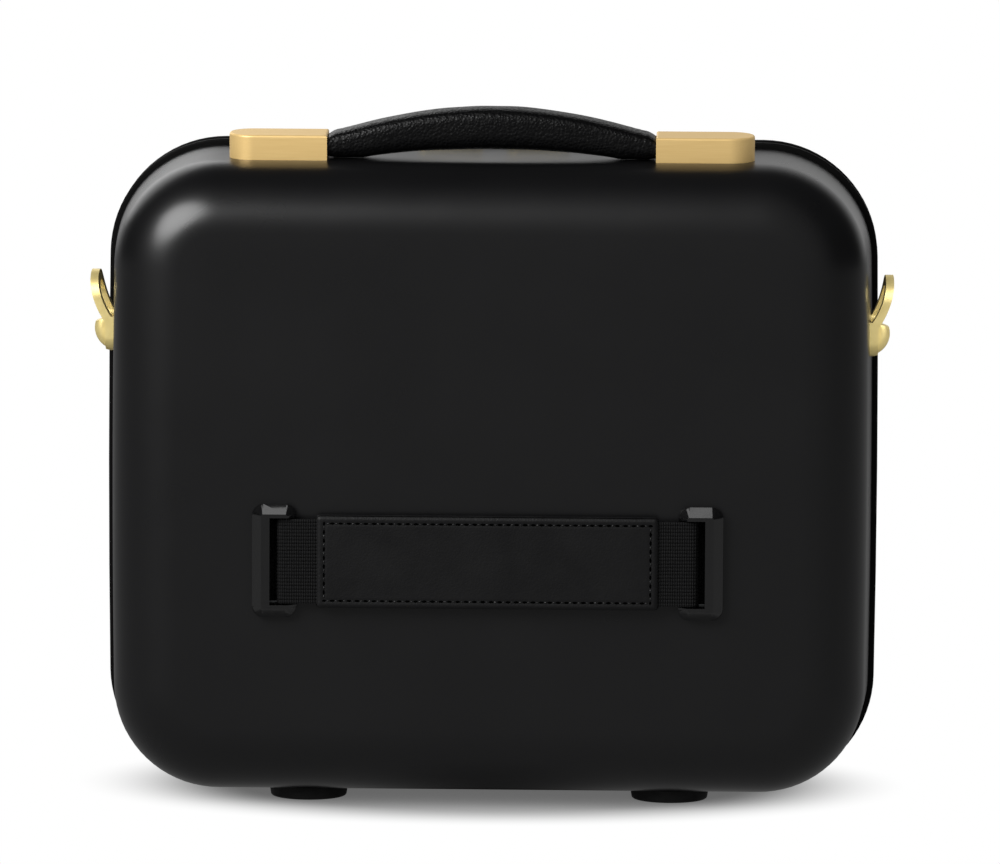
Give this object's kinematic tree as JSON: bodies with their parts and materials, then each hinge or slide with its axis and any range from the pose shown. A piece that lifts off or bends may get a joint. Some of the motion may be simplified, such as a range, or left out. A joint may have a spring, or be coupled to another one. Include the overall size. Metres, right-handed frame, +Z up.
{
  "type": "makeup train case",
  "caption": "Hard-shell makeup train case with a zipped clamshell lid, padded top handle in gold caps, side strap eyes, trolley strap and feet.",
  "frame": {"origin": "middle of the case's bounding box, on the floor under the feet", "axes": "+Z up, -Y out of the back with the trolley strap, +X to the right when looking at the back"},
  "size_m": [0.3622, 0.1826, 0.3135],
  "materials": {
    "shell_black": "satin moulded polycarbonate-ABS",
    "rim_black": "soft matt extruded trim",
    "zip_tape": "woven polyester tape",
    "zip_chain": "nylon coil",
    "gold_satin": "satin brushed, light gold plated",
    "leather_black": "pebble grain",
    "webbing": "ribbed elastic webbing",
    "anchor_black": "glossy moulded",
    "foot_rubber": "matt moulded",
    "steel": "zinc plated",
    "lining": "woven polyester lining",
    "mirror_glass": "silvered"
  },
  "bodies": {
    "base": {"back_shell": "shell_black", "back_rim_bead": "rim_black", "back_zip_tape": "zip_tape", "back_zip_chain": "zip_chain", "back_lining": "lining", "back_foot_left": "foot_rubber", "back_foot_right": "foot_rubber", "back_foot_screws": "steel", "hinge_tape": "zip_tape", "pocket": "lining", "handle_grip": "leather_black", "handle_core": "steel", "handle_backing_plate": "steel", "handle_screws": "steel", "handle_cap_left": "gold_satin", "strap_eye_left": "gold_satin", "strap_eye_plate_left": "steel", "strap_anchor_left": "anchor_black", "strap_clamp_left": "steel", "handle_cap_right": "gold_satin", "strap_eye_right": "gold_satin", "strap_eye_plate_right": "steel", "strap_anchor_right": "anchor_black", "strap_clamp_right": "steel", "strap_eye_screws": "steel", "strap_anchor_screws": "steel", "strap_webbing": "webbing", "strap_patch_front": "leather_black", "strap_patch_back": "leather_black"},
    "lid": {"front_shell": "shell_black", "front_rim_bead": "rim_black", "front_zip_tape": "zip_tape", "front_zip_chain": "zip_chain", "front_lining": "lining", "front_foot_left": "foot_rubber", "front_foot_right": "foot_rubber", "front_foot_screws": "steel", "mirror": "mirror_glass", "mirror_frame": "leather_black"},
    "slider_left": {"zip_slider_left": "gold_satin"},
    "slider_right": {"zip_slider_right": "gold_satin"},
    "pull_left": {"zip_pull_left": "gold_satin"},
    "pull_right": {"zip_pull_right": "gold_satin"}
  },
  "joints": [
    {"name": "lid_hinge", "type": "hinge", "parent": "base", "child": "lid", "pos_m": [0, 0.0043, 0.0036], "axis": [-1, 0, 0], "range_deg": [0, 110], "deforming": ["hinge_tape"]},
    {"name": "zip_slider_left_travel", "type": "slide", "parent": "base", "child": "slider_left", "axis": [-1, 0, 0], "range_m": [0, 0.09]},
    {"name": "zip_pull_left_flip", "type": "hinge", "parent": "slider_left", "child": "pull_left", "pos_m": [-0.0085, 0.0043, 0.2957], "axis": [0, 1, 0], "range_deg": [0, 100]},
    {"name": "zip_slider_right_travel", "type": "slide", "parent": "base", "child": "slider_right", "axis": [1, 0, 0], "range_m": [0, 0.09]},
    {"name": "zip_pull_right_flip", "type": "hinge", "parent": "slider_right", "child": "pull_right", "pos_m": [0.0085, 0.0043, 0.2957], "axis": [0, -1, 0], "range_deg": [0, 100]}
  ]
}
